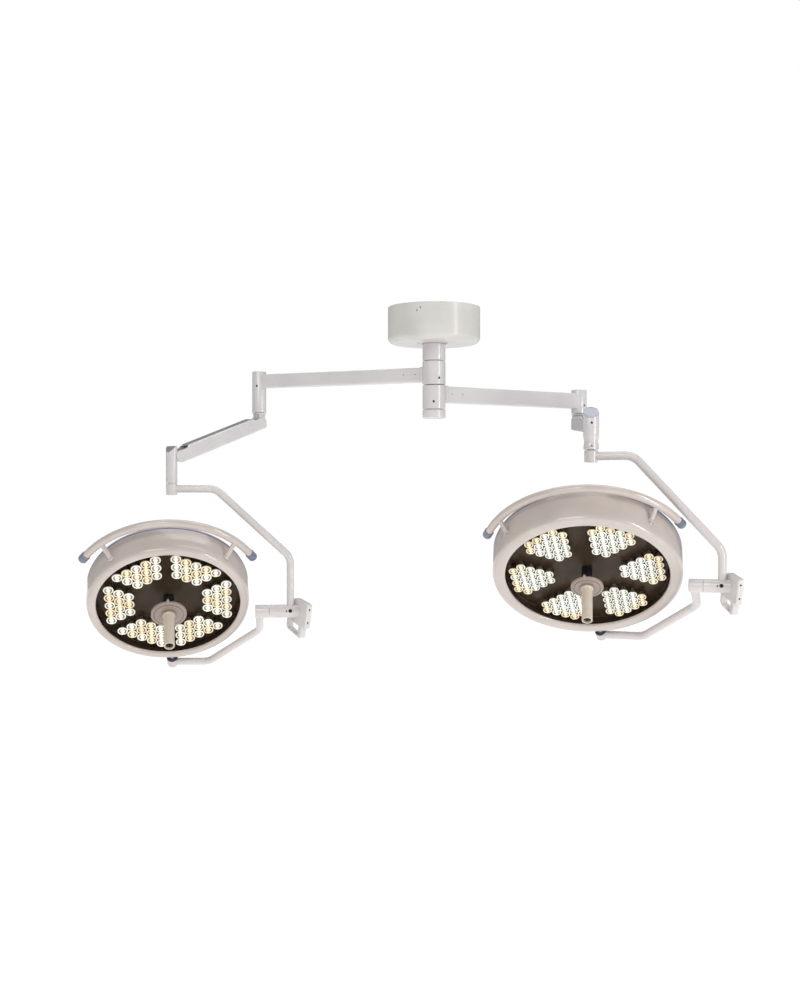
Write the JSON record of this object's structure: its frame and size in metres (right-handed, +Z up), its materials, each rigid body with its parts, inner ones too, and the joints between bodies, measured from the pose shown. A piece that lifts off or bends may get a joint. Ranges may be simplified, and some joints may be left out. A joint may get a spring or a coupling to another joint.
{
  "type": "surgical light",
  "caption": "Ceiling-mounted twin-head surgical light with swinging spring arms, gimballed round LED lamp heads, rails and sterile handles.",
  "frame": {"origin": "centre of the ceiling plate's top face, on the column axis", "axes": "+Z up into the ceiling, +X towards the right lamp as seen from the front, -Y towards the viewer"},
  "size_m": [2.3839, 0.7944, 1.3857],
  "materials": {
    "enamel": "gloss",
    "head_enamel": "gloss",
    "steel": "satin",
    "rail_end": "gloss",
    "seal": "satin",
    "front_glass": "gloss",
    "lens": "gloss",
    "tray": "matte",
    "grip": "satin",
    "keypad": "satin",
    "button": "satin",
    "link_cap": "gloss"
  },
  "bodies": {
    "ceiling_mount": {"ceiling_plate": "steel", "canopy_cover": "enamel", "drop_tube": "enamel", "column_spindle": "enamel"},
    "left_arm": {"left_arm_collar": "enamel", "left_arm_beam": "enamel", "left_knuckle": "enamel"},
    "left_swivel": {"left_rear_block": "enamel"},
    "left_spring_arm": {"left_spring_casing": "enamel", "left_balance_spring": "steel"},
    "left_tie_rod": {"left_tie_rod": "steel"},
    "left_link": {"left_front_block": "enamel", "left_front_cap": "link_cap"},
    "left_yoke": {"left_yoke_tube": "enamel", "left_stub_housing": "enamel", "left_control_box": "enamel", "left_keypad_panel": "keypad"},
    "left_power_button": {"left_power_button": "button"},
    "left_dimmer_button": {"left_dimmer_button": "button"},
    "left_bow": {"left_bow_tube": "enamel", "left_pivot_block": "enamel"},
    "left_head": {"left_front_ring": "head_enamel", "left_glass_cover": "front_glass", "left_led_tray": "tray", "left_led_modules": "lens", "left_gasket": "seal", "left_rear_cover": "head_enamel", "left_handle_rail": "head_enamel", "left_rail_cap_outer": "rail_end", "left_rail_cap_inner": "rail_end", "left_handle_socket": "grip"},
    "left_handle": {"left_sterile_handle": "grip"},
    "right_arm": {"right_arm_collar": "enamel", "right_arm_beam": "enamel", "right_knuckle": "enamel"},
    "right_swivel": {"right_rear_block": "enamel"},
    "right_spring_arm": {"right_spring_casing": "enamel", "right_balance_spring": "steel"},
    "right_tie_rod": {"right_tie_rod": "steel"},
    "right_link": {"right_front_block": "enamel", "right_front_cap": "link_cap"},
    "right_yoke": {"right_yoke_tube": "enamel", "right_stub_housing": "enamel", "right_control_box": "enamel", "right_keypad_panel": "keypad"},
    "right_power_button": {"right_power_button": "button"},
    "right_dimmer_button": {"right_dimmer_button": "button"},
    "right_bow": {"right_bow_tube": "enamel", "right_pivot_block": "enamel"},
    "right_head": {"right_front_ring": "head_enamel", "right_glass_cover": "front_glass", "right_led_tray": "tray", "right_led_modules": "lens", "right_gasket": "seal", "right_rear_cover": "head_enamel", "right_handle_rail": "head_enamel", "right_rail_cap_outer": "rail_end", "right_rail_cap_inner": "rail_end", "right_handle_socket": "grip"},
    "right_handle": {"right_sterile_handle": "grip"}
  },
  "joints": [
    {"name": "left_arm_turn", "type": "hinge", "parent": "ceiling_mount", "child": "left_arm", "pos_m": [0, 0, -0.25], "axis": [0, 0, 1], "range_deg": [-120, 90]},
    {"name": "left_spring_arm_swivel", "type": "hinge", "parent": "left_arm", "child": "left_swivel", "pos_m": [-0.69578, 0.29821, -0.421], "axis": [0, 0, 1], "range_deg": [-120, 120]},
    {"name": "left_spring_arm_tilt", "type": "hinge", "parent": "left_swivel", "child": "left_spring_arm", "pos_m": [-0.69578, 0.29821, -0.421], "axis": [-0.8281, 0.5606, 0], "range_deg": [-32, 39]},
    {"name": "left_link_level", "type": "hinge", "parent": "left_spring_arm", "child": "left_link", "pos_m": [-0.96342, -0.09709, -0.56969], "axis": [-0.8281, 0.5606, 0], "range_deg": [-39, 32]},
    {"name": "left_tie_rod_tilt", "type": "hinge", "parent": "left_swivel", "child": "left_tie_rod", "pos_m": [-0.69578, 0.29821, -0.436], "axis": [-0.8281, 0.5606, 0], "range_deg": [-32, 39]},
    {"name": "left_yoke_turn", "type": "hinge", "parent": "left_link", "child": "left_yoke", "pos_m": [-0.97688, -0.11696, -0.69169], "axis": [0, 0, 1], "continuous": true},
    {"name": "left_bow_roll", "type": "hinge", "parent": "left_yoke", "child": "left_bow", "pos_m": [-0.98991, -0.11833, -1.14929], "axis": [0.9945, 0.1045, 0], "range_deg": [-120, 160]},
    {"name": "left_head_tilt", "type": "hinge", "parent": "left_bow", "child": "left_head", "pos_m": [-0.99297, -0.08919, -1.12206], "axis": [-0.0712, 0.677, -0.7325], "range_deg": [-150, 20]},
    {"name": "left_handle_pull", "type": "slide", "parent": "left_head", "child": "left_handle", "axis": [0.1389, -0.7205, -0.6794], "range_m": [0, 0.06]},
    {"name": "left_power_press", "type": "slide", "parent": "left_yoke", "child": "left_power_button", "axis": [-0.809, -0.5878, 0], "range_m": [0, 0.0012], "stiffness_N_per_m": 400},
    {"name": "left_dimmer_press", "type": "slide", "parent": "left_yoke", "child": "left_dimmer_button", "axis": [-0.809, -0.5878, 0], "range_m": [0, 0.0012], "stiffness_N_per_m": 400},
    {"name": "right_arm_turn", "type": "hinge", "parent": "ceiling_mount", "child": "right_arm", "pos_m": [0, 0, -0.34], "axis": [0, 0, 1], "range_deg": [-90, 150]},
    {"name": "right_spring_arm_swivel", "type": "hinge", "parent": "right_arm", "child": "right_swivel", "pos_m": [0.60026, 0.36784, -0.421], "axis": [0, 0, 1], "range_deg": [-120, 120]},
    {"name": "right_spring_arm_tilt", "type": "hinge", "parent": "right_swivel", "child": "right_spring_arm", "pos_m": [0.60026, 0.36784, -0.421], "axis": [-0.9988, 0.0488, 0], "range_deg": [-46, 25]},
    {"name": "right_link_level", "type": "hinge", "parent": "right_spring_arm", "child": "right_link", "pos_m": [0.57588, -0.13058, -0.45239], "axis": [-0.9988, 0.0488, 0], "range_deg": [-25, 46]},
    {"name": "right_tie_rod_tilt", "type": "hinge", "parent": "right_swivel", "child": "right_tie_rod", "pos_m": [0.60026, 0.36784, -0.436], "axis": [-0.9988, 0.0488, 0], "range_deg": [-46, 25]},
    {"name": "right_yoke_turn", "type": "hinge", "parent": "right_link", "child": "right_yoke", "pos_m": [0.57471, -0.15455, -0.57139], "axis": [0, 0, 1], "continuous": true},
    {"name": "right_bow_roll", "type": "hinge", "parent": "right_yoke", "child": "right_bow", "pos_m": [0.55654, -0.14833, -1.04079], "axis": [0.9461, -0.3239, 0], "range_deg": [-120, 160]},
    {"name": "right_head_tilt", "type": "hinge", "parent": "right_bow", "child": "right_head", "pos_m": [0.56342, -0.12826, -1.01552], "axis": [0.2481, 0.7247, -0.6428], "range_deg": [-150, 20]},
    {"name": "right_handle_pull", "type": "slide", "parent": "right_head", "child": "right_handle", "axis": [-0.088, -0.6439, -0.76], "range_m": [0, 0.06]},
    {"name": "right_power_press", "type": "slide", "parent": "right_yoke", "child": "right_power_button", "axis": [-0.9813, -0.1925, 0], "range_m": [0, 0.0012], "stiffness_N_per_m": 400},
    {"name": "right_dimmer_press", "type": "slide", "parent": "right_yoke", "child": "right_dimmer_button", "axis": [-0.9813, -0.1925, 0], "range_m": [0, 0.0012], "stiffness_N_per_m": 400}
  ],
  "couplings": [
    {"joint": "left_link_level", "follows": "left_spring_arm_tilt", "ratio": -1},
    {"joint": "left_tie_rod_tilt", "follows": "left_spring_arm_tilt", "ratio": 1},
    {"joint": "right_link_level", "follows": "right_spring_arm_tilt", "ratio": -1},
    {"joint": "right_tie_rod_tilt", "follows": "right_spring_arm_tilt", "ratio": 1}
  ]
}
